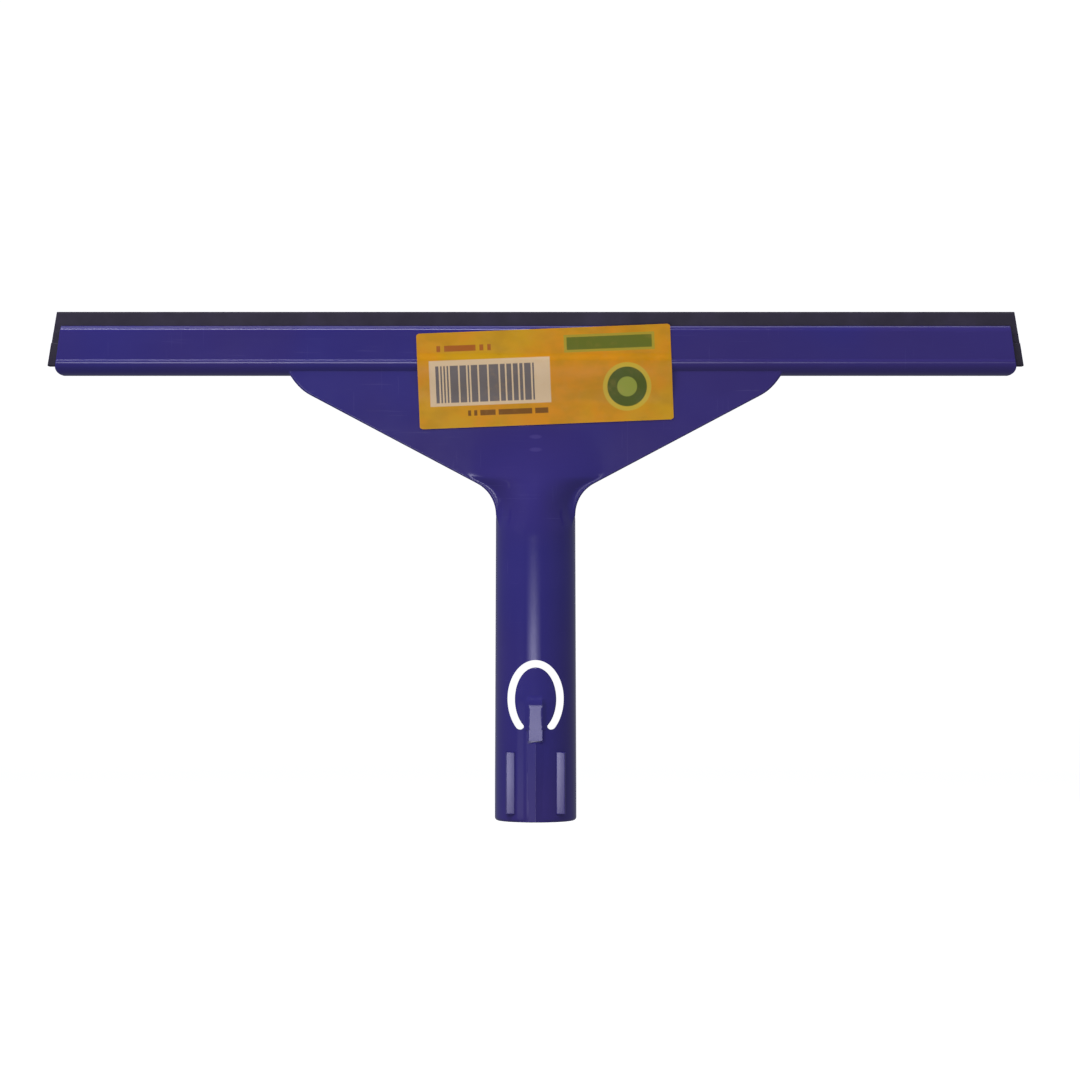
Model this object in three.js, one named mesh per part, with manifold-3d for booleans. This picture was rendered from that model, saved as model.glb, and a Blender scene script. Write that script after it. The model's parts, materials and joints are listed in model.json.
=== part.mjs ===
// Window squeegee, 35 cm: one moulded body (blade channel, web and pole socket), a rubber blade with a
// flexing lip, a press tongue in the socket's wall, and a price label. Millimetres, +Z up.
// X runs along the blade and Z along the socket; the front of the squeegee faces -Y.
// The origin is the centre of the socket's mouth, where the pole goes in.
import * as THREE from "three";
import { mergeVertices } from "three/addons/utils/BufferGeometryUtils.js";
import Module from "manifold-3d";

// ---- Driving dimensions ----------------------------------------------------------------------------

const GAP = 0.3; // clearance between pieces that touch
const PAST = 2; // how far a cutter runs past the face that it cuts
const ARC_STEPS = 8; // divisions of a curve in an outline

// The channel that grips the blade, open along its top.
const channel = {
  bottom: 162.2,
  top: 180.4,
  depth: 12, // across the beads along the bottom
  bellyHeight: 4.9, // the rounded underside, up to the beads
  beadStep: 0.45, // the flat faces are set back behind the beads by this much
  faceLow: 168.0, // where the flat faces start
  edgeRadius: 2.4, // along the two top edges
  wall: 2.4,
  floor: 165.4,
  neckBottom: 174.6, // the slot narrows above this height
  neckHalf: 2.0,
  mouthChamfer: 0.6,
  halfLengthTop: 172.9,
  halfLengthLow: 175.0, // the ends slope outwards down to the corner
  cornerRadius: 3,
};

// The rubber: a bulb held in the channel, a neck, and the lip that bends at flexHeight.
const blade = {
  tip: 185.6,
  tipHalf: 1.0,
  lipHalf: 1.4,
  flexHeight: 180.0,
  low: 164.8, // where the slope of the ends is measured from
  halfLengthTip: 174.8,
  halfLengthLow: 178.1,
};

// The socket: a tube with a slight taper and a shoulder that sinks into the web.
const socket = {
  mouthRadius: 14.9,
  shoulderRadius: 14.5,
  shoulderHeight: 110,
  shoulderBulge: 11, // how far the shoulder keeps the tube's width
  tipRadius: 3.5,
  tipHeight: 145,
  wall: 2.7,
  boreDepth: 104,
  boreTipHeight: 130, // the bore ends in a cone
  boreTipRadius: 1.6,
  mouthChamfer: 0.8,
  rimRadius: 1.2, // of the mouth's outer edge
  segments: 48,
};

// The web: a flat front skin with a rim and ribs behind it.
const web = {
  depth: 9,
  skin: 2.8,
  rim: 2.4,
  slope: THREE.MathUtils.degToRad(27.9), // of the two long edges
  cornerHeight: 119.3, // where a long edge would meet the socket's side
  filletRadius: 13,
  bendX: 82.5, // where the long edge starts to turn up to the channel
  bendReach: 5,
  endX: 90.6,
  ribThickness: 1.8,
  ribTop: 3.9, // the ribs stop a little short of the rim's edge
  ribFeet: [[7, 138], [14, 122]], // [x, z] where each rib starts, inside the socket's shoulder
  ribHeads: [24, 55], // x where each rib meets the channel
};

// The press tongue and the slot around it. Pressing it pushes the pole's spring button in.
const tongue = {
  centreHeight: 44.6,
  slotHalfWidth: 10.2,
  slotHalfHeight: 14.25,
  slotWidth: 2.7,
  slotEnd: 33.6, // the slot's two arms end here, and the tongue's neck joins the wall
  neckHalf: 4.3,
  padLow: 29.7, // the raised pad starts on the wall and runs on up the tongue's lower half
  padTop: 45,
  padHalf: 2.4,
  padRise: 0.7,
  pocketRadius: 3.8, // behind the tongue, takes the spring button
  pocketHeight: 46,
  pocketDepth: 1.6,
};

const rearWindow = { halfWidth: 11.2, halfHeight: 16 }; // in the wall behind the tongue

// The keyway: a groove inside the bore for the spring button, and outside it a ridge like a low roof.
const keyway = { top: 29.2, baseHalf: 5.8, crestHalf: 0.7, rise: 0.7, grooveHalf: 3, grooveDepth: 1.2 };

// Two ribs on the front, beside the mouth, with flat tops that face forwards.
const sideRib = { centreX: 9.1, halfWidth: 1.7, face: 13.2, foot: 8, low: 2.9, high: 25.6, bevel: 0.5 };

// The label lies on the channel's face, over its bead, and on the web.
const label = {
  width: 92.5,
  height: 34.8,
  thickness: 0.25,
  centreX: 3.4,
  centreHeight: 161.8,
  turn: THREE.MathUtils.degToRad(2.3),
  faceLow: 170.5, // it leaves the channel's face below this height,
  beadTop: 168.0, // is on the bead from here
  beadLow: 166.2, // to here,
  webTop: 152, // and on the web below here
};

// ---- Materials -------------------------------------------------------------------------------------

const violetPlastic = () => new THREE.MeshStandardMaterial({ color: 0x36297a, roughness: 0.32 });
const blackRubber = () => new THREE.MeshStandardMaterial({ color: 0x1c1a20, roughness: 0.6 });
const orangePaper = () => new THREE.MeshStandardMaterial({ color: 0xd08a1e, roughness: 0.45 });

// ---- Solids ----------------------------------------------------------------------------------------

const wasm = await Module();
wasm.setup();

const p = (x, y) => new THREE.Vector2(x, y);

// A closed geometry as a solid that can be joined and cut. Triangles with no area are left out.
function solid(geometry) {
  const bare = geometry.index ? geometry.toNonIndexed() : geometry.clone();
  bare.deleteAttribute("normal");
  bare.deleteAttribute("uv");
  const merged = mergeVertices(bare, 1e-4);
  const corners = merged.index.array;
  const kept = [];
  for (let i = 0; i < corners.length; i += 3) {
    const [a, b, c] = corners.slice(i, i + 3);
    if (a !== b && b !== c && c !== a) kept.push(a, b, c);
  }
  const vertProperties = merged.attributes.position.array;
  return new wasm.Manifold(new wasm.Mesh({ numProp: 3, vertProperties, triVerts: new Uint32Array(kept) }));
}

// A solid as a named mesh.
function part(name, shape, material) {
  const { vertProperties, triVerts } = shape.getMesh();
  const geometry = new THREE.BufferGeometry();
  geometry.setAttribute("position", new THREE.BufferAttribute(vertProperties, 3));
  geometry.setIndex(new THREE.BufferAttribute(triVerts, 1));
  geometry.computeVertexNormals();
  const mesh = new THREE.Mesh(geometry, material);
  mesh.name = name;
  return mesh;
}

function extruded(outline, depth) {
  return new THREE.ExtrudeGeometry(outline, { depth, bevelEnabled: false, curveSegments: ARC_STEPS });
}

// An outline drawn in (Y, Z), carried along X from low to high.
function alongX(outline, low, high) {
  const turn = new THREE.Matrix4().set(0, 0, 1, low, 1, 0, 0, 0, 0, 1, 0, 0, 0, 0, 0, 1);
  return solid(extruded(outline, high - low).applyMatrix4(turn));
}

// An outline drawn in (X, Z), carried along Y from low (towards the front) to high.
function alongY(outline, low, high) {
  const turn = new THREE.Matrix4().set(1, 0, 0, 0, 0, 0, -1, high, 0, 1, 0, 0, 0, 0, 0, 1);
  return solid(extruded(outline, high - low).applyMatrix4(turn));
}

// An outline drawn in (X, Y), carried up Z from low to high.
function alongZ(outline, low, high) {
  return solid(extruded(outline, high - low).translate(0, 0, low));
}

// A profile of [radius, height] pairs turned about the socket's axis.
function turned(profile) {
  const points = profile.map(([radius, height]) => p(radius, height));
  return solid(new THREE.LatheGeometry(points, socket.segments).rotateX(Math.PI / 2));
}

// A symmetric outline: its right half from bottom to top, then the same points mirrored.
function mirrored(half) {
  const left = half.filter(({ x }) => x > 1e-6).map(({ x, y }) => p(-x, y));
  return new THREE.Shape([...half, ...left.reverse()]);
}

// Points of an ellipse's arc from one angle to another, in degrees.
function arcPoints(cx, cy, rx, ry, from, to, steps = ARC_STEPS) {
  const { degToRad } = THREE.MathUtils;
  return new THREE.EllipseCurve(cx, cy, rx, ry, degToRad(from), degToRad(to), to < from).getPoints(steps);
}

const joined = (solids) => solids.reduce((made, next) => made.add(next));

// ---- The moulded body ------------------------------------------------------------------------------

// Section of the channel: round belly, a bead along each side, flat faces set back behind the beads, and a
// T-shaped slot open at the top.
function channelSection() {
  const { bottom, top, bellyHeight, faceLow, edgeRadius, wall, floor, neckBottom } = channel;
  const { neckHalf, mouthChamfer } = channel;
  const half = channel.depth / 2;
  const face = half - channel.beadStep;
  return mirrored([
    ...arcPoints(0, bottom + bellyHeight, half, bellyHeight, -90, 0),
    p(face, faceLow),
    ...arcPoints(face - edgeRadius, top - edgeRadius, edgeRadius, edgeRadius, 0, 90),
    p(neckHalf + mouthChamfer, top),
    p(neckHalf, top - mouthChamfer),
    p(neckHalf, neckBottom),
    p(half - wall, neckBottom),
    p(half - wall, floor),
  ]);
}

// Front view of the channel: its ends slope outwards, and their lower corners are round.
function channelFrontView() {
  const { bottom, top, halfLengthTop, halfLengthLow, cornerRadius } = channel;
  return mirrored([
    ...arcPoints(halfLengthLow - cornerRadius, bottom + cornerRadius, cornerRadius, cornerRadius, -90, 0),
    p(halfLengthTop, top),
  ]);
}

function channelBody() {
  const length = channel.halfLengthLow + PAST;
  const bar = alongX(channelSection(), -length, length);
  return bar.intersect(alongY(channelFrontView(), -channel.depth, channel.depth));
}

// Front view of the web, drawn in from its edge by inset: a foot that sinks into the socket's side, a
// fillet, a long straight edge, and a turn up to the channel.
function webFrontView(inset) {
  const { slope, filletRadius, bendReach } = web;
  const side = socket.shoulderRadius - inset;
  const corner = web.cornerHeight + inset * (1 / Math.cos(slope) - Math.tan(slope));
  const radius = filletRadius + inset;
  const reach = radius * Math.tan((Math.PI / 2 - slope) / 2);
  const filletEnd = 90 + THREE.MathUtils.radToDeg(slope);
  const bend = p(web.bendX - inset, corner + (web.bendX - inset - side) * Math.tan(slope));
  const pull = p(bend.x + bendReach * Math.cos(slope), bend.y + bendReach * Math.sin(slope));
  const turnUp = new THREE.QuadraticBezierCurve(bend, pull, p(web.endX - inset, channel.bottom + PAST));
  return mirrored([
    p(side - PAST, corner - 2 * reach),
    ...arcPoints(side + radius, corner - reach, radius, radius, 180, filletEnd),
    ...turnUp.getPoints(ARC_STEPS),
  ]);
}

// A straight rib in the tray behind the web's skin, from [x, z] to [x, z].
function trayRib([x0, z0], [x1, z1]) {
  const low = web.skin - web.depth / 2 - GAP;
  const length = Math.hypot(x1 - x0, z1 - z0);
  const geometry = new THREE.BoxGeometry(length, web.ribTop - low, web.ribThickness);
  geometry.rotateY(-Math.atan2(z1 - z0, x1 - x0));
  geometry.translate((x0 + x1) / 2, (web.ribTop + low) / 2, (z0 + z1) / 2);
  return solid(geometry);
}

function webBody() {
  const half = web.depth / 2;
  const plate = alongY(webFrontView(0), -half, half);
  const tray = alongY(webFrontView(web.rim), web.skin - half, half + PAST);
  const ribs = web.ribFeet.flatMap(([x, z], i) =>
    [1, -1].map((side) => trayRib([side * x, z], [side * web.ribHeads[i], channel.bottom + PAST / 2])),
  );
  return joined([plate.subtract(tray), ...ribs]);
}

function socketOutside() {
  const { mouthRadius, rimRadius, shoulderRadius, shoulderHeight, shoulderBulge } = socket;
  const { tipRadius, tipHeight } = socket;
  const shoulder = new THREE.QuadraticBezierCurve(
    p(shoulderRadius, shoulderHeight),
    p(shoulderRadius - 1, shoulderHeight + shoulderBulge),
    p(tipRadius, tipHeight),
  );
  const rim = arcPoints(mouthRadius - rimRadius, rimRadius, rimRadius, rimRadius, -90, 0);
  const side = [...rim, ...shoulder.getPoints(ARC_STEPS)].map(({ x, y }) => [x, y]);
  return turned([[0, 0], ...side, [0, tipHeight]]);
}

// The bore follows the outside at one wall's thickness and ends in a cone.
function bore() {
  const { wall, shoulderRadius, boreDepth, boreTipHeight, boreTipRadius, mouthChamfer } = socket;
  const mouth = socket.mouthRadius - wall;
  return turned([
    [0, -PAST],
    [mouth + mouthChamfer, -PAST],
    [mouth + mouthChamfer, 0],
    [mouth, mouthChamfer],
    [shoulderRadius - wall, boreDepth],
    [boreTipRadius, boreTipHeight],
    [0, boreTipHeight],
  ]);
}

// A raised band up the front of the socket, narrowing from its base to its crest, from low to high.
function frontBand(baseHalf, crestHalf, rise, low, high) {
  const sunk = socket.wall / 2 - socket.mouthRadius;
  const crest = -socket.mouthRadius - rise;
  const corners = [p(-baseHalf, sunk), p(-crestHalf, crest), p(crestHalf, crest), p(baseHalf, sunk)];
  return alongZ(new THREE.Shape(corners), low, high);
}

// The pad below the fingertip: on the wall under the tongue, and on the tongue itself.
function fingerPad(low, high) {
  const { padHalf, padRise } = tongue;
  return frontBand(padHalf + padRise, padHalf, padRise, low, high);
}

// The groove inside the bore's front wall that guides the spring button up to the tongue.
function groove() {
  const depth = socket.mouthRadius - socket.wall + keyway.grooveDepth;
  const high = tongue.pocketHeight;
  const geometry = new THREE.BoxGeometry(2 * keyway.grooveHalf, depth, high + PAST);
  return solid(geometry.translate(0, -depth / 2, (high - PAST) / 2));
}

// One of the ribs beside the mouth, on the side (1 right, -1 left), with bevelled long edges.
function flatRib(side) {
  const { centreX, halfWidth, face, foot, low, high, bevel } = sideRib;
  const section = new THREE.Shape([
    p(side * centreX - halfWidth, -foot),
    p(side * centreX - halfWidth, bevel - face),
    p(side * centreX - halfWidth + bevel, -face),
    p(side * centreX + halfWidth - bevel, -face),
    p(side * centreX + halfWidth, bevel - face),
    p(side * centreX + halfWidth, -foot),
  ]);
  return alongZ(section, low, high);
}

// The opening around the tongue: an ellipse cut off straight at its lower end.
function slotOpening() {
  const { centreHeight, slotHalfWidth, slotHalfHeight, slotEnd } = tongue;
  const start = THREE.MathUtils.radToDeg(Math.asin((slotEnd - centreHeight) / slotHalfHeight));
  return mirrored(arcPoints(0, centreHeight, slotHalfWidth, slotHalfHeight, start, 90, 2 * ARC_STEPS));
}

function rearOpening() {
  const { halfWidth, halfHeight } = rearWindow;
  return mirrored(arcPoints(0, tongue.centreHeight, halfWidth, halfHeight, -90, 90, 2 * ARC_STEPS));
}

function squeegeeBody() {
  const past = socket.mouthRadius + PAST;
  const outside = joined([
    socketOutside(),
    webBody(),
    channelBody(),
    frontBand(keyway.baseHalf, keyway.crestHalf, keyway.rise, 0, keyway.top),
    fingerPad(tongue.padLow, tongue.slotEnd),
    flatRib(1),
    flatRib(-1),
  ]);
  return outside
    .subtract(bore())
    .subtract(groove())
    .subtract(alongY(slotOpening(), -past, 0))
    .subtract(alongY(rearOpening(), 0, past));
}

// ---- The press tongue ------------------------------------------------------------------------------

// The slot's own shape, drawn in by the slot's width, standing on the neck.
function tongueOutline() {
  const { centreHeight, slotWidth, slotEnd, neckHalf } = tongue;
  const halfWidth = tongue.slotHalfWidth - slotWidth;
  const halfHeight = tongue.slotHalfHeight - slotWidth;
  const start = -THREE.MathUtils.radToDeg(Math.acos(neckHalf / halfWidth));
  return mirrored([
    p(neckHalf, slotEnd + GAP),
    ...arcPoints(0, centreHeight, halfWidth, halfHeight, start, 90, 2 * ARC_STEPS),
  ]);
}

// The round pocket behind the tongue, cut outwards from the bore.
function buttonPocket() {
  const { pocketRadius, pocketHeight, pocketDepth } = tongue;
  const depth = socket.mouthRadius - socket.wall + pocketDepth;
  const circle = mirrored(arcPoints(0, pocketHeight, pocketRadius, pocketRadius, -90, 90));
  return alongY(circle, -depth, 0);
}

function pressTongue() {
  const wall = socketOutside().add(fingerPad(tongue.slotEnd + GAP, tongue.padTop));
  return wall
    .intersect(alongY(tongueOutline(), -socket.mouthRadius - PAST, 0))
    .subtract(bore())
    .subtract(groove())
    .subtract(buttonPocket());
}

// ---- The rubber blade ------------------------------------------------------------------------------

// A section of the blade carried along X, with the sloping ends of the whole strip.
function bladePiece(section) {
  const { tip, low, halfLengthTip, halfLengthLow } = blade;
  const ends = mirrored([p(halfLengthLow, low), p(halfLengthTip, tip)]);
  const strip = alongX(section, -halfLengthLow, halfLengthLow);
  return strip.intersect(alongY(ends, -channel.depth, channel.depth));
}

// The bulb and neck, a gap smaller than the slot that holds them.
function bladeRoot() {
  const bulbHalf = channel.depth / 2 - channel.wall - GAP;
  const neckHalf = channel.neckHalf - GAP;
  const bulbTop = channel.neckBottom - GAP;
  return bladePiece(
    mirrored([
      p(bulbHalf, channel.floor + GAP),
      p(bulbHalf, bulbTop),
      p(neckHalf, bulbTop),
      p(neckHalf, blade.flexHeight - blade.lipHalf - GAP),
    ]),
  );
}

// The lip: round about the line where it bends, and tapering to the edge that wipes.
function bladeLip() {
  const { flexHeight, lipHalf, tip, tipHalf } = blade;
  return bladePiece(mirrored([...arcPoints(0, flexHeight, lipHalf, lipHalf, -90, 0), p(tipHalf, tip)]));
}

// ---- The label -------------------------------------------------------------------------------------

function priceLabel() {
  const { width, height, thickness, faceLow, beadTop, beadLow, webTop } = label;
  const onBead = -channel.depth / 2 - GAP;
  const onFace = onBead + channel.beadStep;
  const onWeb = -web.depth / 2 - GAP;
  const low = label.centreHeight - height;
  const high = label.centreHeight + height;
  const back = [
    p(onWeb, low),
    p(onWeb, webTop),
    p(onBead, beadLow),
    p(onBead, beadTop),
    p(onFace, faceLow),
    p(onFace, high),
  ];
  const front = back.map(({ x, y }) => p(x - thickness, y)).reverse();
  const sheet = alongX(new THREE.Shape([...back, ...front]), -width, width);
  const cut = new THREE.BoxGeometry(width, channel.depth * 2, height).rotateY(-label.turn);
  return sheet.intersect(solid(cut.translate(label.centreX, 0, label.centreHeight)));
}

// ---- Assembly --------------------------------------------------------------------------------------

const group = new THREE.Group();
group.add(
  part("squeegee_body", squeegeeBody(), violetPlastic()),
  part("press_tongue", pressTongue(), violetPlastic()),
  part("blade_root", bladeRoot(), blackRubber()),
  part("blade_lip", bladeLip(), blackRubber()),
  part("price_label", priceLabel(), orangePaper()),
);

export default group;
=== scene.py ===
import json
import math

import bpy
import numpy as np
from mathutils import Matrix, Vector


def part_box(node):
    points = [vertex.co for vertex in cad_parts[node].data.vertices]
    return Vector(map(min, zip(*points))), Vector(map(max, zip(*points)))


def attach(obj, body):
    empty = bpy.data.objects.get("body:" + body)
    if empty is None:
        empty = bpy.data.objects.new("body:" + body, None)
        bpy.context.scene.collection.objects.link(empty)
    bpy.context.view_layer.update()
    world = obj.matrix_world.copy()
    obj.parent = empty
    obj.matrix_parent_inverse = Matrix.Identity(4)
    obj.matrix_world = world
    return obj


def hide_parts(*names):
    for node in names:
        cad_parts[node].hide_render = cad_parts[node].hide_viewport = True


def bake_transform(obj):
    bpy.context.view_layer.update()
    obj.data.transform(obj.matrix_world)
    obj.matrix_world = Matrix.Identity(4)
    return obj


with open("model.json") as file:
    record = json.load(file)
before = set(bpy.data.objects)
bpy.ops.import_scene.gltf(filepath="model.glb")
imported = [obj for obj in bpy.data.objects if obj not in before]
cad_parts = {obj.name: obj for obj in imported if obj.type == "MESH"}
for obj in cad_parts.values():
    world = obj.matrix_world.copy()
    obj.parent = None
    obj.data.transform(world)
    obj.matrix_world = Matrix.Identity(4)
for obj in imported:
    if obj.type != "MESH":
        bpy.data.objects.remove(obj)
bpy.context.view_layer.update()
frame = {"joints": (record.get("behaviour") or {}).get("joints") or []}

# A window squeegee: moulded channel, web and pole socket; press tongue; rubber blade; price label.
# Shapes are worked out in millimetres in the part's own frame (Z up the socket, X along the blade, the
# front towards -Y), and put into the meshes in metres.

MM = 0.001


def box_mm(node):
    """A CAD node's lowest and highest corner in millimetres."""
    low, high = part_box(node)
    return np.array(low) / MM, np.array(high) / MM


BODY_HIGH = box_mm("squeegee_body")[1]
TONGUE_HIGH = box_mm("press_tongue")[1]
ROOT_LOW, ROOT_HIGH = box_mm("blade_root")
LIP_HIGH = box_mm("blade_lip")[1]
JOINTS = {joint["name"]: joint for joint in frame["joints"]}

# ---- Sizes in millimetres --------------------------------------------------------------------------

# channel that grips the blade
BAR_TOP = BODY_HIGH[2]
BAR_BOTTOM = 162.2
BAR_HALF = 6.0  # half its depth at the beads
BELLY = 4.9  # height of the rounded underside, up to the beads
BEAD_STEP = 0.45  # the flat faces are set back behind the beads
FACE_LOW = 168.0
BAR_FACE = BAR_HALF - BEAD_STEP
BAR_EDGE = 2.4
BAR_WALL = 2.4
SLOT_FLOOR = 165.4
NECK_BOTTOM = 174.6
NECK_HALF = 2.0
END_LOW = BODY_HIGH[0]  # half length at the lower corner
END_TOP = END_LOW - 2.1
CORNER = 3.0

# pole socket
MOUTH_R = BODY_HIGH[1]
SHOULDER_R = MOUTH_R - 0.4
SHOULDER_Z = 110.0
TIP_Z = 145.0  # where the shoulder ends behind the web
FAIR_LOW, FAIR_TOP = 103.0, 143.6  # in front, the tube fades into the web between these heights
FAIR_SPREAD = 11.0  # how much wider the faired shoulder gets than the tube
WALL = 2.7
RIM_R = 1.2
BORE_Z = 104.0
BORE_TIP_Z = 130.0

# web
WEB_HALF = 4.5
WEB_SKIN = 2.8
WEB_RIM = 2.4
WEB_SLOPE = math.radians(27.9)
WEB_CORNER_Z = 119.3
WEB_FILLET = 13.0
WEB_BEND_X = 82.5
WEB_REACH = 5.0
WEB_END_X = 90.6
WEB_EDGE = 0.9

# tongue and slot
SLOT_Z = 44.6
SLOT_X, SLOT_H = 10.2, 14.25
SLOT_END = 33.6
TONGUE_X = TONGUE_HIGH[0]
TONGUE_H = TONGUE_HIGH[2] - SLOT_Z
TONGUE_NECK = 4.3
PAD_HALF, PAD_RISE, PAD_LOW, PAD_TOP = 2.4, 0.7, 29.7, 45.0
PAD_FADE, PAD_FADE_FROM = 0.1, PAD_TOP - 2.5  # its top falls away as this times the square of the rise
TONGUE_LEAN = 1.0  # how far its top is set back
LEAN_FROM, LEAN_TO = PAD_TOP - 1.5, TONGUE_HIGH[2] + 2
NECK_FLARE = 1.0  # how much wider the neck is at its foot, and over what height
TONGUE_EDGE = 0.45
WINDOW_X, WINDOW_H = 11.2, 16.0
GROOVE_HALF, GROOVE_DEPTH, GROOVE_TOP = 3.0, 1.2, 46.0
RIB_X, RIB_HALF, RIB_FACE, RIB_LOW, RIB_HIGH = 9.1, 1.7, 13.2, 2.9, 25.6
RIDGE_HALF, RIDGE_TOP, RIDGE_RISE = 5.8, 29.2, 0.7

# blade
TIP_HALF, LIP_HALF = 1.0, 1.4
FLEX_Z = JOINTS["lip_bend"]["pos_m"][2] / MM

# label
LABEL_W, LABEL_H, LABEL_T = 92.5, 34.8, 0.2
LABEL_X, LABEL_Z = 3.4, 161.8
LABEL_TURN = math.radians(2.3)
LABEL_CLEAR = 0.1  # air behind it
# going down: it leaves the channel's face, lies on the bead, leaves it, and meets the web
LABEL_LEAVES_FACE, LABEL_BEAD, LABEL_ON_WEB = 170.2, (167.6, 166.4), 151.5
LABEL_CORNER = 1.0

# ---- Mesh helpers ----------------------------------------------------------------------------------


def grid_quads(rows, cols, wrap=True):
    """Quads between neighbouring points of a rows by cols grid; wrap joins the last column to the first."""
    i = np.arange(rows - 1)[:, None]
    j = np.arange(cols if wrap else cols - 1)[None, :]
    k = (j + 1) % cols
    return np.stack([i * cols + j, i * cols + k, (i + 1) * cols + k, (i + 1) * cols + j], -1).reshape(-1, 4)


def make_object(name, points, faces):
    """A mesh object at the origin from points in millimetres, merged and with its faces pointing out."""
    mesh = bpy.data.meshes.new(name)
    mesh.from_pydata((np.asarray(points, float).reshape(-1, 3) * MM).tolist(), [], faces)
    mesh.validate()
    thing = bpy.data.objects.new(name, mesh)
    bpy.context.scene.collection.objects.link(thing)
    bpy.context.view_layer.objects.active = thing
    bpy.ops.object.select_all(action="DESELECT")
    thing.select_set(True)
    bpy.ops.object.mode_set(mode="EDIT")
    bpy.ops.mesh.select_all(action="SELECT")
    bpy.ops.mesh.remove_doubles(threshold=2e-6)
    bpy.ops.mesh.normals_make_consistent(inside=False)
    bpy.ops.object.mode_set(mode="OBJECT")
    return thing


def loft(name, rings):
    """A closed solid through rings of points (rings, points, 3), with a flat face at each end."""
    count, around, _ = rings.shape
    faces = grid_quads(count, around).tolist()
    faces.append(list(range(around))[::-1])
    faces.append([(count - 1) * around + i for i in range(around)])
    return make_object(name, rings, faces)


def prism(name, outline, low, high):
    """An outline in (X, Z) carried along Y."""
    ring = np.array(outline, float)
    rings = np.stack([np.column_stack([ring[:, 0], np.full(len(ring), y), ring[:, 1]]) for y in (low, high)])
    return loft(name, rings)


def block(name, low, high):
    """A box from its lowest to its highest corner."""
    (x0, y0, z0), (x1, y1, z1) = low, high
    return prism(name, [(x0, z0), (x1, z0), (x1, z1), (x0, z1)], y0, y1)


def turned(name, radii, heights, around=128):
    """A solid of revolution about the socket's axis: a circle of each radius at each height."""
    angle = np.linspace(0, 2 * math.pi, around, endpoint=False)
    r, z = np.asarray(radii, float)[:, None], np.asarray(heights, float)[:, None]
    rings = np.stack([r * np.sin(angle), -r * np.cos(angle), z + 0 * angle], -1)
    return loft(name, rings)


def arc(cx, cy, rx, ry, start, end, count):
    """Points of an ellipse's arc, from one angle in degrees to another."""
    a = np.radians(np.linspace(start, end, count))
    return np.column_stack([cx + rx * np.cos(a), cy + ry * np.sin(a)])


def mirrored(half):
    """A symmetric closed outline from its right half, which runs from bottom to top."""
    half = np.array(half, float)
    left = half[half[:, 0] > 1e-6][::-1] * [-1, 1]
    return np.vstack([half, left])


def bezier(a, b, c, count):
    """A quadratic curve from a to c, pulled towards b."""
    t = np.linspace(0, 1, count)[:, None]
    return (1 - t) ** 2 * np.array(a) + 2 * t * (1 - t) * np.array(b) + t**2 * np.array(c)


def resampled(outline, step):
    """The closed outline with its long edges divided into pieces no longer than step."""
    ends = np.roll(outline, -1, axis=0)
    counts = np.maximum(1, np.ceil(np.linalg.norm(ends - outline, axis=1) / step).astype(int))
    start, end = np.repeat(outline, counts, axis=0), np.repeat(ends, counts, axis=0)
    first = np.repeat(np.cumsum(counts) - counts, counts)
    share = ((np.arange(counts.sum()) - first) / np.repeat(counts, counts))[:, None]
    return start + (end - start) * share


def shrunk(outline, by):
    """A closed outline, run anticlockwise, moved inwards along its mitred corner normals."""
    before = outline - np.roll(outline, 1, axis=0)
    after = np.roll(outline, -1, axis=0) - outline
    turn = [[0, 1], [-1, 0]]
    n0 = before @ turn / np.linalg.norm(before, axis=1)[:, None]
    n1 = after @ turn / np.linalg.norm(after, axis=1)[:, None]
    middle = n0 + n1
    return outline + by * 2 * middle / np.maximum((middle**2).sum(1), 0.5)[:, None]


def smooth_max(a, b, reach):
    """The larger of a and b, rounded where they differ by less than reach."""
    near = np.maximum(reach - np.abs(a - b), 0) / reach
    return np.maximum(a, b) + near**2 * reach / 4


def eased(value, start, end):
    """0 before start and 1 after end, with a soft rise between them: 3t squared less 2t cubed."""
    t = np.clip((value - start) / (end - start), 0, 1)
    return t * t * (3 - 2 * t)


def bar_of(name, outline, end_at, edge, count):
    """A section in (Y, Z) carried along X to end_at(z) both ways, with its end edges rounded by edge."""
    turns = np.radians(np.linspace(0, 90, 5))
    drawn_in, held_back = edge * (1 - np.cos(turns)), edge * (1 - np.sin(turns))
    share = np.concatenate([-np.ones(5), np.linspace(-1, 1, count)[1:-1], np.ones(5)])
    inset = np.concatenate([drawn_in[::-1], np.zeros(count - 2), drawn_in])
    back = np.concatenate([held_back[::-1], np.full(count - 2, edge), held_back])
    rings = []
    for s, d, e in zip(share, inset, back):
        ring = shrunk(outline, d)
        rings.append(np.column_stack([s * (end_at(outline[:, 1]) - e), ring[:, 0], ring[:, 1]]))
    return loft(name, np.stack(rings))


def combine(target, other, how):
    """Joins other to target or cuts it away (UNION or DIFFERENCE), and removes other."""
    modifier = target.modifiers.new(how, "BOOLEAN")
    modifier.operation = how
    modifier.solver = "EXACT"
    modifier.object = other
    bpy.context.view_layer.objects.active = target
    bpy.ops.object.modifier_apply(modifier=modifier.name)
    bpy.data.objects.remove(other)
    return target


def shaded(thing, sharp=32):
    """Smooth shading, with edges sharper than an angle in degrees kept crisp and large faces kept flat."""
    thing.data.shade_smooth()
    thing.data.set_sharp_from_angle(angle=math.radians(sharp))
    weigh = thing.modifiers.new("flat_faces", "WEIGHTED_NORMAL")
    weigh.keep_sharp = True
    bpy.context.view_layer.objects.active = thing
    bpy.ops.object.modifier_apply(modifier=weigh.name)
    return thing


# ---- The moulded body ------------------------------------------------------------------------------


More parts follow.
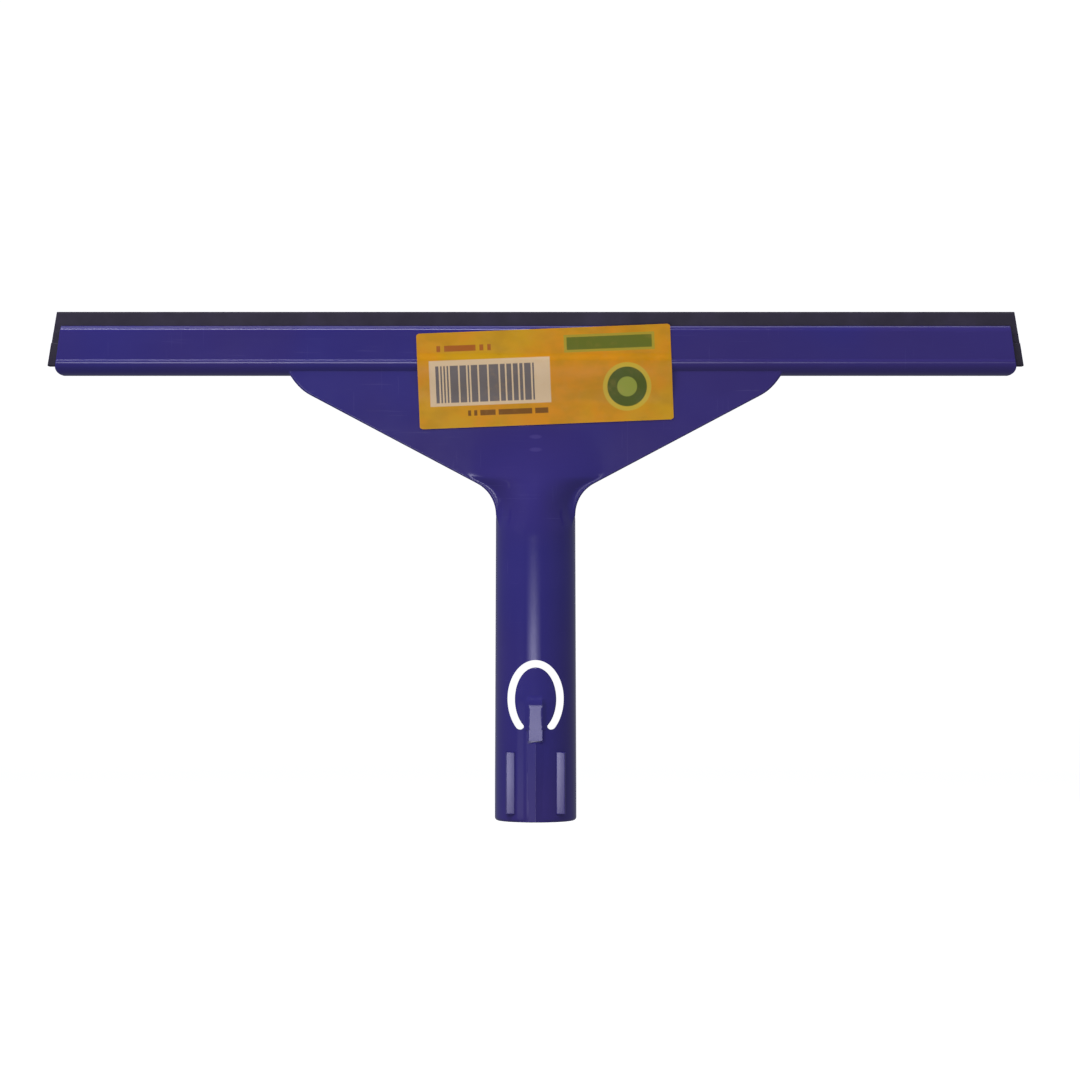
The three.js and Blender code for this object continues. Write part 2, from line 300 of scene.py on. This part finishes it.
def bar_end(z):
    """Half length of the channel at a height: a sloping end above a round corner."""
    low = BAR_BOTTOM + CORNER
    under = np.clip(low - z, 0, CORNER)
    slope = (END_LOW - END_TOP) * np.clip(z - low, 0, None) / (BAR_TOP - low)
    return END_LOW - CORNER + np.sqrt(CORNER**2 - under**2) - slope


def channel_bar():
    """The channel, swept along X: a U with a round belly, a soft bead along each side, flat faces set back
    behind the beads, and a T-shaped slot."""
    bead_top = BAR_BOTTOM + BELLY
    half = [
        *arc(0, bead_top, BAR_HALF, BELLY, -90, 0, 17),
        *bezier((BAR_HALF, bead_top + 0.2), (BAR_HALF, bead_top + 0.5), (BAR_FACE + 0.2, FACE_LOW - 0.25), 5),
        *bezier((BAR_FACE + 0.1, FACE_LOW - 0.1), (BAR_FACE, FACE_LOW), (BAR_FACE, FACE_LOW + 0.3), 4),
        *arc(BAR_FACE - BAR_EDGE, BAR_TOP - BAR_EDGE, BAR_EDGE, BAR_EDGE, 0, 90, 11),
        (NECK_HALF + 0.6, BAR_TOP),
        (NECK_HALF, BAR_TOP - 0.6),
        (NECK_HALF, NECK_BOTTOM),
        (BAR_HALF - BAR_WALL, NECK_BOTTOM),
        (BAR_HALF - BAR_WALL, SLOT_FLOOR),
    ]
    return bar_of("channel", resampled(mirrored(half), 2.5), bar_end, 0.25, 60)


def web_edge(inset=0.0):
    """Right edge of the web in (X, Z): foot, fillet, long straight edge, turn up to the channel."""
    side = SHOULDER_R - inset
    corner = WEB_CORNER_Z + inset * (1 / math.cos(WEB_SLOPE) - math.tan(WEB_SLOPE))
    radius = WEB_FILLET + inset
    reach = radius * math.tan((math.pi / 2 - WEB_SLOPE) / 2)
    fillet = arc(side + radius, corner - reach, radius, radius, 180, 90 + math.degrees(WEB_SLOPE), 25)
    bend_x = WEB_BEND_X - inset
    bend = np.array([bend_x, corner + (bend_x - side) * math.tan(WEB_SLOPE)])
    pull = bend + WEB_REACH * np.array([math.cos(WEB_SLOPE), math.sin(WEB_SLOPE)])
    turn_up = bezier(bend, pull, (WEB_END_X - inset, BAR_BOTTOM + 2), 25)
    return np.vstack([[side - 2, corner - 2 * reach], fillet, turn_up])


def socket_radius(z):
    """Outside radius at a height: round rim, slight taper, and a shoulder that sinks into the web."""
    rim = np.clip(RIM_R - z, 0, RIM_R)
    shoulder = bezier((SHOULDER_R, SHOULDER_Z), (SHOULDER_R - 1, SHOULDER_Z + 11), (3.5, TIP_Z), 40)
    heights = np.concatenate([[RIM_R], shoulder[:, 1], [TIP_Z + 12]])
    radii = np.concatenate([[MOUTH_R], shoulder[:, 0], [0.0]])
    return np.interp(z, heights, radii) - RIM_R + np.sqrt(RIM_R**2 - rim**2)


def faired(x, z, half_x):
    """Depth of the socket's front as it fades into the web, the depth of its foot, and the rounding between
    them: a round tube at first, then a hill that gets lower and wider with height, (1 - (x / width) squared)
    to a power that grows from a half to two."""
    share = eased(z, FAIR_LOW + 2, FAIR_LOW + 24)
    crest = WEB_HALF + (SHOULDER_R - WEB_HALF) * (1 - eased(z, FAIR_LOW, FAIR_TOP))
    width = np.minimum(SHOULDER_R + FAIR_SPREAD * share, half_x)
    base = WEB_HALF * share
    inside = np.maximum(1 - (x / width) ** 2, 0)
    hill = base + (crest - base) * inside ** (0.5 + 1.5 * share)
    return np.where(inside > 0, hill, 0), base, np.maximum(3.0 * (1 - share), 1e-6)


def socket_and_web():
    """Outer skin of socket and web: at each height a closed loop whose depth is the larger of the tube's
    and the web's, rounded where one runs into the other."""
    edge = web_edge()
    top = BAR_BOTTOM + 2
    z = np.concatenate([
        RIM_R * (1 - np.cos(np.linspace(0, math.pi / 2, 7))),
        np.linspace(4, edge[0, 1], 30),
        np.linspace(edge[0, 1], top, 130)[1:],
    ])[:, None]
    radius = socket_radius(z)
    web_x = np.interp(z, edge[:, 1], edge[:, 0], left=0)
    half_x = np.maximum(radius, web_x)
    turn = np.radians(np.linspace(-90, 90, 129))
    x = half_x * np.sin(turn) * (0.62 + 0.38 * np.abs(np.sin(turn)))
    tube = np.sqrt(np.maximum(radius**2 - x**2, 0))
    into_edge = np.clip(np.abs(x) - (web_x - WEB_EDGE), 0, WEB_EDGE)
    plate = WEB_HALF - WEB_EDGE + np.sqrt(WEB_EDGE**2 - into_edge**2)
    plate = np.where((web_x > 0) & (np.abs(x) <= web_x + 1e-9), plate, 0)
    height = z + 0 * x
    hill, foot, reach = faired(x, height, half_x)
    hill = np.where(plate > 0, hill - foot * (1 - plate / WEB_HALF), hill)
    near = np.where(height > FAIR_LOW, hill, tube)
    front = np.where(plate > 0, smooth_max(near, plate, reach), near)
    back = np.where(plate > 0, smooth_max(tube, plate, 3.0), tube)
    front = np.stack([x, -front, height], -1)
    back = np.stack([x[:, ::-1], back[:, ::-1], height], -1)
    return loft("squeegee_moulding", np.concatenate([front, back], 1))


def tray():
    """What is hollowed out behind the web's front skin, clear of the socket."""
    outline = mirrored(web_edge(WEB_RIM)[1:])
    cutter = prism("tray", outline, WEB_SKIN - WEB_HALF, WEB_HALF + 4)
    z = np.linspace(90, TIP_Z + 8, 60)
    return combine(cutter, turned("tray_core", socket_radius(z) + 0.05, z), "DIFFERENCE")


def tray_rib(start, end):
    """A straight rib in the tray between two points in (X, Z)."""
    (x0, z0), (x1, z1) = start, end
    across = np.array([z0 - z1, x1 - x0]) / math.hypot(x1 - x0, z1 - z0) * 0.9
    a, b = np.array([x0, z0]), np.array([x1, z1])
    return prism("tray_rib", [a - across, b - across, b + across, a + across], WEB_SKIN - WEB_HALF - 0.3, 3.9)


def bore():
    """The hole for the pole: chamfered mouth, slight taper, conical end."""
    mouth = MOUTH_R - WALL
    radii = [mouth + 0.8, mouth + 0.8, mouth, SHOULDER_R - WALL, 1.6]
    return turned("bore", radii, [-2, 0, 0.8, BORE_Z, BORE_TIP_Z])


def slot_outline():
    """The opening round the tongue: an ellipse cut off straight, with round lower corners."""
    start = math.degrees(math.asin((SLOT_END - SLOT_Z) / SLOT_H))
    side = arc(0, SLOT_Z, SLOT_X, SLOT_H, start + 4, 90, 60)
    low_x = SLOT_X * math.cos(math.radians(start)) - 0.9
    return mirrored(np.vstack([bezier((low_x, SLOT_END), (low_x + 0.9, SLOT_END), side[0], 7)[:-1], side]))


def front_band(name, base, crest, rise, low, high):
    """A raised band up the front of the socket, with its crest rounded by one small step and its upper end
    bevelled."""
    sunk, face = WALL / 2 - MOUTH_R, -MOUTH_R - rise
    rings = []
    for z, less in ((low, 0), (high - 0.5, 0), (high, min(0.5, rise - 0.1))):
        half = [(base, sunk), (crest + 0.25, face + 0.16 + less), (crest, face + less)]
        ring = [(-x, y) for x, y in half] + half[::-1]
        rings.append([(x, y, z) for x, y in ring])
    return loft(name, np.array(rings))


def flat_rib(side):
    """A rib beside the mouth with a flat top facing forwards and all its edges bevelled."""
    bevel, rings = 0.45, []
    for y, less in ((-8, 0), (bevel - RIB_FACE, 0), (0.13 - RIB_FACE, 0.13), (-RIB_FACE, bevel)):
        x0, x1 = side * RIB_X - RIB_HALF + less, side * RIB_X + RIB_HALF - less
        z0, z1 = RIB_LOW + less, RIB_HIGH - less
        rings.append([(x0, y, z0), (x1, y, z0), (x1, y, z1), (x0, y, z1)])
    return loft("side_rib", np.array(rings))


def moulding():
    """The whole body: skin, hollowed behind the web, joined to the channel, then bored and slotted."""
    made = combine(socket_and_web(), tray(), "DIFFERENCE")
    for side in (1, -1):
        for (x, z), head in (((7, 138), 24), ((14, 122), 55)):
            combine(made, tray_rib((side * x, z), (side * head, BAR_BOTTOM + 1)), "UNION")
        combine(made, flat_rib(side), "UNION")
    combine(made, channel_bar(), "UNION")
    combine(made, front_band("ridge", RIDGE_HALF, 0.02, RIDGE_RISE, 0.3, RIDGE_TOP), "UNION")
    combine(made, front_band("pad", PAD_HALF + PAD_RISE, PAD_HALF, PAD_RISE, PAD_LOW, SLOT_END + 1), "UNION")
    combine(made, bore(), "DIFFERENCE")
    deep = MOUTH_R - WALL + GROOVE_DEPTH
    groove = block("groove", (-GROOVE_HALF, -deep, -2), (GROOVE_HALF, 0, GROOVE_TOP))
    combine(made, groove, "DIFFERENCE")
    combine(made, prism("slot", slot_outline(), -MOUTH_R - 2, 0), "DIFFERENCE")
    window = mirrored(arc(0, SLOT_Z, WINDOW_X, WINDOW_H, -90, 90, 60))
    combine(made, prism("window", window, 0, MOUTH_R + 2), "DIFFERENCE")
    return shaded(made)


# ---- The press tongue ------------------------------------------------------------------------------


def press_tongue():
    """A shell of the socket's wall inside the slot: at each height a closed loop, as wide as the oval or
    the neck, with a raised pad low down, above which its face leans back for the fingertip."""
    turn = np.linspace(math.asin(-0.82), math.pi / 2 - 0.02, 70)
    oval_z = SLOT_Z + TONGUE_H * np.sin(turn)
    oval_x = TONGUE_X * np.cos(turn)
    neck_z = np.linspace(SLOT_END + 0.02, oval_z[0], 12)[:-1]
    flare = NECK_FLARE * np.clip(1 - (neck_z - SLOT_END) / NECK_FLARE, 0, 1) ** 2
    z = np.concatenate([neck_z, oval_z])
    half = np.concatenate([TONGUE_NECK + flare, np.maximum(oval_x, 0.02)])
    s = np.sin(np.radians(np.linspace(-90, 90, 49)))
    x = half[:, None] * s
    height = z[:, None] + 0 * x
    outer = np.interp(z, [0, SHOULDER_Z], [MOUTH_R, SHOULDER_R])[:, None]
    front = np.sqrt(outer**2 - x**2)
    flat = MOUTH_R + PAD_RISE - np.clip(np.abs(x) - PAD_HALF, 0, None)
    flat = flat - PAD_FADE * np.clip(height - PAD_FADE_FROM, 0, None) ** 2
    front = smooth_max(front, flat, 0.4)
    front = front - TONGUE_LEAN * eased(height, LEAN_FROM, LEAN_TO)
    edge_gap = (1 - np.abs(s)) * half[:, None]
    top_gap = (TONGUE_HIGH[2] - height) * 0.5
    gap = np.clip(np.minimum(edge_gap, top_gap), 0, TONGUE_EDGE)
    rounded = TONGUE_EDGE - np.sqrt(TONGUE_EDGE**2 - (TONGUE_EDGE - gap) ** 2)
    front = front - rounded * (height > SLOT_END + 1.2)
    inner = outer - WALL
    back = np.sqrt(inner**2 - x**2)
    back = np.where((np.abs(x) < GROOVE_HALF) & (height < GROOVE_TOP), inner + GROOVE_DEPTH - 0.05, back)
    rings = np.concatenate(
        [np.stack([x, -front, height], -1), np.stack([x[:, ::-1], -back[:, ::-1], height], -1)], 1
    )
    return shaded(loft("press_tongue_skin", rings), 40)


# ---- The rubber blade ------------------------------------------------------------------------------


def blade_end(z):
    """Half length of the blade at a height, the line through the ends of root and lip."""
    return np.interp(z, [ROOT_LOW[2], LIP_HIGH[2]], [ROOT_HIGH[0], ROOT_HIGH[0] - 3.15])


def rubber_blade():
    """One strip: bulb, neck and lip, with points close together where it bends."""
    neck = NECK_HALF - 0.3
    half = [
        (0, ROOT_LOW[2]),
        *arc(ROOT_HIGH[1] - 0.5, ROOT_LOW[2] + 0.5, 0.5, 0.5, -90, 0, 5),
        *arc(ROOT_HIGH[1] - 0.5, NECK_BOTTOM - 0.8, 0.5, 0.5, 0, 90, 5),
        (neck, NECK_BOTTOM - 0.3),
        (neck, FLEX_Z - 2.2),
        (LIP_HALF, FLEX_Z - 0.9),
        (TIP_HALF, LIP_HIGH[2] - 0.15),
        (TIP_HALF - 0.12, LIP_HIGH[2]),
    ]
    return shaded(bar_of("blade_rubber", resampled(mirrored(half), 0.5), blade_end, 0.2, 120), 30)


# ---- The label -------------------------------------------------------------------------------------


def label_sheet():
    """A thin sheet on a grid of width and height: flat on the channel's face, over its bead and down to the
    web, with a slight ripple, and its corners rounded. Its UV runs from 0 to 1 both ways."""
    cols, rows = 150, 90
    u, v = np.meshgrid(np.linspace(0, 1, cols), np.linspace(0, 1, rows))
    a, b = (u - 0.5) * LABEL_W, (v - 0.5) * LABEL_H
    over = np.clip(np.abs(b) - (LABEL_H / 2 - LABEL_CORNER), 0, LABEL_CORNER)
    limit = LABEL_W / 2 - LABEL_CORNER + np.sqrt(LABEL_CORNER**2 - over**2)
    a = np.clip(a, -limit, limit)
    x = LABEL_X + a * math.cos(LABEL_TURN) - b * math.sin(LABEL_TURN)
    z = LABEL_Z + a * math.sin(LABEL_TURN) + b * math.cos(LABEL_TURN)
    over_bead = BEAD_STEP * eased(z, LABEL_LEAVES_FACE, LABEL_BEAD[0])
    down_to_web = (BAR_HALF - WEB_HALF) * eased(z, LABEL_BEAD[1], LABEL_ON_WEB)
    y = down_to_web - over_bead - BAR_FACE - LABEL_CLEAR
    y = y - 0.035 * (1 + np.sin(x * 0.33 + z * 0.11) * np.cos(z * 0.42 - x * 0.07))
    near, far = np.stack([x, y, z], -1), np.stack([x, y - LABEL_T, z], -1)
    count = rows * cols
    faces = np.vstack([grid_quads(rows, cols, False), grid_quads(rows, cols, False)[:, ::-1] + count])
    index = np.arange(count).reshape(rows, cols)
    rim = np.concatenate([index[0, :-1], index[:-1, -1], index[-1, :0:-1], index[:0:-1, 0]])
    after = np.roll(rim, -1)
    side = np.stack([rim, rim + count, after + count, after], -1)
    mesh = bpy.data.meshes.new("label_sheet")
    points = np.concatenate([near.reshape(-1, 3), far.reshape(-1, 3)]) * MM
    mesh.from_pydata(points.tolist(), [], np.vstack([faces, side]).tolist())
    uv = np.tile(np.column_stack([u.ravel(), v.ravel()]), (2, 1))
    corners = np.zeros(len(mesh.loops), int)
    mesh.loops.foreach_get("vertex_index", corners)
    mesh.uv_layers.new(name="print").data.foreach_set("uv", uv[corners].ravel())
    thing = bpy.data.objects.new("label_sheet", mesh)
    bpy.context.scene.collection.objects.link(thing)
    return shaded(thing, 40)


# ---- Materials -------------------------------------------------------------------------------------

PAINTED_HIGHLIGHT_HEIGHTS = (0.1352, 0.1399)  # two painted highlights: pale ovals on the web's centre line, standing in for light caught by two small mould marks; heights in metres
PAINTED_HIGHLIGHT_WIDE, PAINTED_HIGHLIGHT_HIGH = 0.0028, 0.0010


def srgb(red, green, blue):
    """A colour given in display values from 0 to 255, as the linear values that a shader takes."""
    c = np.array([red, green, blue]) / 255
    linear = np.where(c <= 0.04045, c / 12.92, ((c + 0.055) / 1.055) ** 2.4)
    return (*linear.tolist(), 1.0)


class Finish:
    """A material being built: short calls that add a node and return its output socket."""

    def __init__(self, name):
        self.material = bpy.data.materials.new(name)
        self.material.use_nodes = True
        self.tree = self.material.node_tree
        self.shader = self.tree.nodes["Principled BSDF"]
        self.place = self.tree.nodes.new("ShaderNodeTexCoord").outputs["Object"]

    def add(self, kind, inputs, output=0, **settings):
        """A node of a kind, with each input linked or given a value."""
        node = self.tree.nodes.new(kind)
        for key, value in settings.items():
            setattr(node, key, value)
        for key, value in inputs.items():
            if isinstance(value, bpy.types.NodeSocket):
                self.tree.links.new(value, node.inputs[key])
            else:
                node.inputs[key].default_value = value
        return node.outputs[output]

    def noise(self, scale, detail=3, stretch=(1, 1, 1), rough=0.5):
        """Noise over the object's own coordinates, which stretch multiplies along each axis."""
        where = self.add("ShaderNodeMapping", {"Vector": self.place, "Scale": stretch})
        values = {"Vector": where, "Scale": scale, "Detail": detail, "Roughness": rough}
        return self.add("ShaderNodeTexNoise", values)

    def ramp(self, value, low, high, to_low=0.0, to_high=1.0):
        """A soft step from to_low at low to to_high at high."""
        values = {"Value": value, 1: low, 2: high, 3: to_low, 4: to_high}
        return self.add("ShaderNodeMapRange", values, interpolation_type="SMOOTHSTEP")

    def math(self, how, a, b=0.0):
        return self.add("ShaderNodeMath", {0: a, 1: b}, operation=how)

    def mix(self, share, a, b):
        """Colour a, with a share of colour b."""
        return self.add("ShaderNodeMix", {0: share, 6: a, 7: b}, output=2, data_type="RGBA")

    def painted_oval(self, at, wide, high):
        """A soft oval on the centre line at a height, used for a painted highlight: 1 in the middle, 0
        outside.
        """
        split = self.tree.nodes.new("ShaderNodeSeparateXYZ")
        self.tree.links.new(self.place, split.inputs[0])
        across = self.math("DIVIDE", split.outputs[0], wide)
        up = self.math("DIVIDE", self.math("SUBTRACT", split.outputs[2], at), high)
        far = self.math("ADD", self.math("MULTIPLY", across, across), self.math("MULTIPLY", up, up))
        return self.ramp(far, 0.1, 1.0, 1.0, 0.0)

    def bump(self, height, distance, strength=1.0, under=None):
        """A bumped normal from a height, laid over the one under it."""
        values = {"Height": height, "Distance": distance, "Strength": strength}
        if under is not None:
            values["Normal"] = under
        return self.add("ShaderNodeBump", values)

    def set(self, **values):
        """Links or sets inputs of the shader by name, and returns the finished material."""
        names = {"colour": "Base Color", "roughness": "Roughness", "normal": "Normal"}
        for key, value in values.items():
            socket = self.shader.inputs[names.get(key, key.replace("_", " "))]
            if isinstance(value, bpy.types.NodeSocket):
                self.tree.links.new(value, socket)
            else:
                socket.default_value = value
        return self.material


def violet_plastic():
    """Glossy moulded plastic: a slow drift of hue, faint flow lines, orange peel, fine grain, sparse
    hairline scratches, and two painted highlights, pale ovals on the web's centre line."""
    f = Finish("violet_plastic")
    drift = f.ramp(f.noise(16, 2), 0.35, 0.65)
    base = f.mix(drift, srgb(48, 42, 119), srgb(53, 42, 111))
    flow = f.ramp(f.noise(38, 4, (0.35, 1, 1)), 0.42, 0.72)
    base = f.mix(f.math("MULTIPLY", flow, 0.16), base, srgb(66, 57, 138))
    hairs = f.ramp(f.noise(140, 2, (0.3, 1, 22), 0.4), 0.70, 0.76)
    steep = f.ramp(f.noise(120, 2, (18, 1, 0.4), 0.4), 0.71, 0.77)
    scratch = f.math("MAXIMUM", hairs, steep)
    base = f.mix(f.math("MULTIPLY", scratch, 0.12), base, srgb(96, 88, 160))
    # painted highlights: two pale ovals on the web's centre line, standing in for light caught by two small
    # mould marks
    for at in PAINTED_HIGHLIGHT_HEIGHTS:
        painted_highlight = f.painted_oval(at, PAINTED_HIGHLIGHT_WIDE, PAINTED_HIGHLIGHT_HIGH)
        base = f.mix(f.math("MULTIPLY", painted_highlight, 0.2), base, srgb(104, 92, 160))
    rough = f.ramp(f.noise(75, 3), 0.3, 0.7, 0.105, 0.14)
    rough = f.math("ADD", rough, f.math("MULTIPLY", scratch, 0.06))
    peel = f.bump(f.noise(420, 2), 0.00002, 0.12)
    grain = f.bump(f.noise(2600, 2), 0.000005, 0.3, peel)
    lines = f.bump(scratch, -0.00001, 0.3, grain)
    return f.set(colour=base, roughness=rough, normal=lines, IOR=1.49)


def black_rubber():
    """Matt black rubber: drawn lines along its length, pale bloom, and a dusty wiping edge."""
    f = Finish("black_rubber")
    height = f.add("ShaderNodeSeparateXYZ", {"Vector": f.place}, output=2)
    cloud = f.ramp(f.noise(70, 5), 0.4, 0.75)
    base = f.mix(cloud, srgb(36, 30, 45), srgb(46, 39, 58))
    near_tip = f.ramp(height, LIP_HIGH[2] * MM - 0.0009, LIP_HIGH[2] * MM)
    dust = f.math("MULTIPLY", near_tip, f.ramp(f.noise(240, 5), 0.35, 0.7, 0.2, 0.8))
    base = f.mix(f.math("MULTIPLY", dust, 0.5), base, srgb(92, 90, 92))
    rough = f.ramp(f.noise(150, 4), 0.3, 0.7, 0.5, 0.68)
    drawn = f.bump(f.noise(900, 3, (0.02, 1, 1)), 0.00006, 0.5)
    grain = f.bump(f.noise(3200, 2), 0.00002, 0.5, drawn)
    return f.set(colour=base, roughness=rough, normal=grain, IOR=1.5)


def printed_label():
    """Orange label print on its own UV: pale panel of plain bars, plain rules, a green strip, a disc."""
    f = Finish("printed_label")
    uv = f.add("ShaderNodeUVMap", {}, uv_map="print")
    split = f.tree.nodes.new("ShaderNodeSeparateXYZ")
    f.tree.links.new(uv, split.inputs[0])
    u = f.math("MULTIPLY", split.outputs[0], LABEL_W)
    v = f.math("MULTIPLY", split.outputs[1], LABEL_H)
    soft = 0.18

    def inside(value, low, high):
        rise = f.ramp(value, low - soft, low + soft)
        return f.math("MULTIPLY", rise, f.ramp(value, high - soft, high + soft, 1.0, 0.0))

    def panel(left, right, low, high):
        return f.math("MULTIPLY", inside(u, left, right), inside(v, low, high))

    def disc(cx, cy, radius):
        dx, dy = f.math("SUBTRACT", u, cx), f.math("SUBTRACT", v, cy)
        far = f.math("SQRT", f.math("ADD", f.math("MULTIPLY", dx, dx), f.math("MULTIPLY", dy, dy)))
        return f.ramp(far, radius - soft, radius + soft, 1.0, 0.0)

    def dashes(per_mm, share):
        cell = f.math("FLOOR", f.math("MULTIPLY", u, per_mm))
        value = f.add("ShaderNodeTexWhiteNoise", {"W": cell}, noise_dimensions="1D")
        return f.math("LESS_THAN", value, share)

    orange = f.mix(f.ramp(f.noise(45, 4), 0.35, 0.65), srgb(219, 143, 12), srgb(208, 156, 15))
    stain = f.ramp(f.noise(85, 3, (1, 1, 1.4)), 0.45, 0.7)
    orange = f.mix(f.math("MULTIPLY", stain, 0.5), orange, srgb(182, 134, 10))
    art = [
        (panel(4.2, 48.2, 8.0, 24.6), srgb(222, 194, 148)),
        (f.math("MULTIPLY", panel(6.0, 44.2, 9.2, 22.6), dashes(1.7, 0.58)), srgb(112, 104, 96)),
        (f.math("MULTIPLY", panel(7.2, 27.0, 27.8, 30.0), dashes(0.7, 0.8)), srgb(172, 96, 22)),
        (f.math("MULTIPLY", panel(17, 47, 4.2, 6.2), dashes(0.9, 0.75)), srgb(126, 82, 18)),
        (panel(53.6, 86.6, 25.8, 32.2), srgb(176, 156, 40)),
        (panel(54.6, 85.6, 26.7, 31.3), srgb(104, 112, 26)),
        (disc(76.0, 12.6, 8.8), srgb(206, 176, 48)),
        (disc(76.0, 12.6, 7.2), srgb(82, 94, 22)),
        (disc(76.0, 12.6, 3.6), srgb(152, 160, 58)),
    ]
    colour = orange
    for mask, ink in art:
        colour = f.mix(mask, colour, ink)
    faded = f.math("MULTIPLY", f.ramp(f.noise(300, 5), 0.5, 0.75), 0.10)
    colour = f.mix(faded, colour, srgb(206, 156, 70))
    rough = f.ramp(f.noise(120, 4), 0.3, 0.7, 0.28, 0.38)
    cockle = f.bump(f.noise(110, 3), 0.00012, 0.35)
    fibre = f.bump(f.noise(3000, 2), 0.00001, 0.5, cockle)
    return f.set(colour=colour, roughness=rough, normal=fibre, IOR=1.28)


def finish_with(thing, material):
    """Gives a piece its one material, in a single slot."""
    thing.data.materials.clear()
    thing.data.materials.append(material)
    return thing


# ---- The object ------------------------------------------------------------------------------------

plastic, rubber, paper = violet_plastic(), black_rubber(), printed_label()

body = finish_with(moulding(), plastic)
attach(body, "head")
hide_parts("squeegee_body")

tongue = finish_with(press_tongue(), plastic)
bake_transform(tongue)
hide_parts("press_tongue")

strip = finish_with(rubber_blade(), rubber)
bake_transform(strip)
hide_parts("blade_root", "blade_lip")

sheet = finish_with(label_sheet(), paper)
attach(sheet, "head")
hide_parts("price_label")

# ---- Floor, light and camera -----------------------------------------------------------------------

EYE_X, EYE_Z = 0.0016, 0.1023  # what the camera looks at, in metres
FRAME_WIDTH = 0.3945
LENS = 135.0
FLOOR_Z = -0.13
FLOOR_R, WALL_CURVE, WALL_TOP = 2.6, 0.6, 3.4
FLOOR_HOLE = 0.0002  # the floor's rings start this far from the axis


def studio():
    """A pale round floor that curves up into a wall all round, turned about the Z axis."""
    turn = np.radians(np.linspace(-90, 0, 16))
    curve = [(FLOOR_HOLE, FLOOR_Z), (FLOOR_R, FLOOR_Z)]
    curve += [(FLOOR_R + WALL_CURVE * math.cos(a), FLOOR_Z + WALL_CURVE * (1 + math.sin(a))) for a in turn]
    radius, height = np.array(curve + [(FLOOR_R + WALL_CURVE, WALL_TOP)]).T
    around = np.radians(np.arange(0, 360, 3))
    rows = [np.column_stack([radius * math.cos(a), radius * math.sin(a), height]) for a in around]
    rows.append(rows[0])
    mesh = bpy.data.meshes.new("studio_floor")
    mesh.from_pydata(np.concatenate(rows).tolist(), [], grid_quads(len(rows), len(height), False).tolist())
    thing = bpy.data.objects.new("studio_floor", mesh)
    bpy.context.scene.collection.objects.link(thing)
    thing.data.shade_smooth()
    material = bpy.data.materials.new("pale_floor")
    material.use_nodes = True
    shader = material.node_tree.nodes["Principled BSDF"]
    shader.inputs["Base Color"].default_value = (0.9, 0.9, 0.9, 1)
    shader.inputs["Roughness"].default_value = 0.9
    shader.inputs["Emission Color"].default_value = (1, 1, 1, 1)
    shader.inputs["Emission Strength"].default_value = 0.75
    thing.data.materials.append(material)
    thing.visible_glossy = False
    thing.visible_diffuse = False
    thing.visible_shadow = False


def area_light(name, place, aim, size, power, mirrored_in_gloss=True, tint=(1, 1, 1)):
    """A soft rectangular light of size (width, height) in metres, turned to face aim. A fill that isn't
    mirrored in gloss lights the surface and leaves no highlight on it."""
    data = bpy.data.lights.new(name, "AREA")
    data.shape = "RECTANGLE"
    data.size, data.size_y = size
    data.energy = power
    data.color = tint
    lamp = bpy.data.objects.new(name, data)
    bpy.context.scene.collection.objects.link(lamp)
    lamp.location = place
    toward = Vector(aim) - Vector(place)
    lamp.rotation_euler = toward.to_track_quat("-Z", "Y").to_euler()
    lamp.visible_camera = False
    lamp.visible_glossy = mirrored_in_gloss


def camera():
    """A level camera in front of the squeegee, at the distance that gives the frame its width."""
    data = bpy.data.cameras.new("camera")
    data.lens = LENS
    data.sensor_width = 36
    eye = bpy.data.objects.new("camera", data)
    bpy.context.scene.collection.objects.link(eye)
    eye.location = (EYE_X, -FRAME_WIDTH * LENS / data.sensor_width, EYE_Z)
    eye.rotation_euler = (math.pi / 2, 0, 0)
    bpy.context.scene.camera = eye


studio()
COOL = (0.80, 0.78, 1.0)
KEY_X, KEY_Y, KEY_Z, KEY_HIGH = -0.17, -1.55, -0.036, 0.17
KEY_STRIPS = ((0.17, 21), (0.28, 14), (0.40, 9), (0.55, 4))  # half width, power for each square metre
for number, (half, watts) in enumerate(KEY_STRIPS):
    area_light(f"low_key_{number + 1}", (KEY_X, KEY_Y, KEY_Z), (KEY_X, 0, KEY_Z), (2 * half, KEY_HIGH),
               watts * 2 * half * KEY_HIGH, tint=COOL)
area_light("left_card", (-1.30, -1.35, -0.10), (0, 0, 0.02), (0.60, 0.12), 0.16, tint=COOL)
area_light("high_strip", (-0.38, -0.72, 1.30), (-0.05, 0, 0.17), (1.0, 0.26), 10, tint=COOL)
area_light("fill_left", (-1.2, -1.0, 0.7), (0, 0, 0.12), (1.0, 1.0), 9, mirrored_in_gloss=False)
area_light("fill_right", (1.3, -0.9, 0.5), (0, 0, 0.12), (0.9, 0.9), 3, mirrored_in_gloss=False)
area_light("top", (-0.2, 0.3, 1.5), (0, 0, 0.1), (1.4, 0.6), 4)
area_light("behind", (0, 1.0, 0.9), (0, 0, 0.1), (1.2, 0.8), 5)
area_light("back_strip", (0.3, 1.3, 1.1), (0, 0, 0.1), (0.6, 0.4), 8)
world = bpy.data.worlds.new("studio_air")
world.use_nodes = True
world.node_tree.nodes["Background"].inputs[0].default_value = (0.9, 0.92, 1.0, 1)
world.node_tree.nodes["Background"].inputs[1].default_value = 0.25
bpy.context.scene.world = world
bpy.context.scene.view_settings.view_transform = "Standard"
camera()
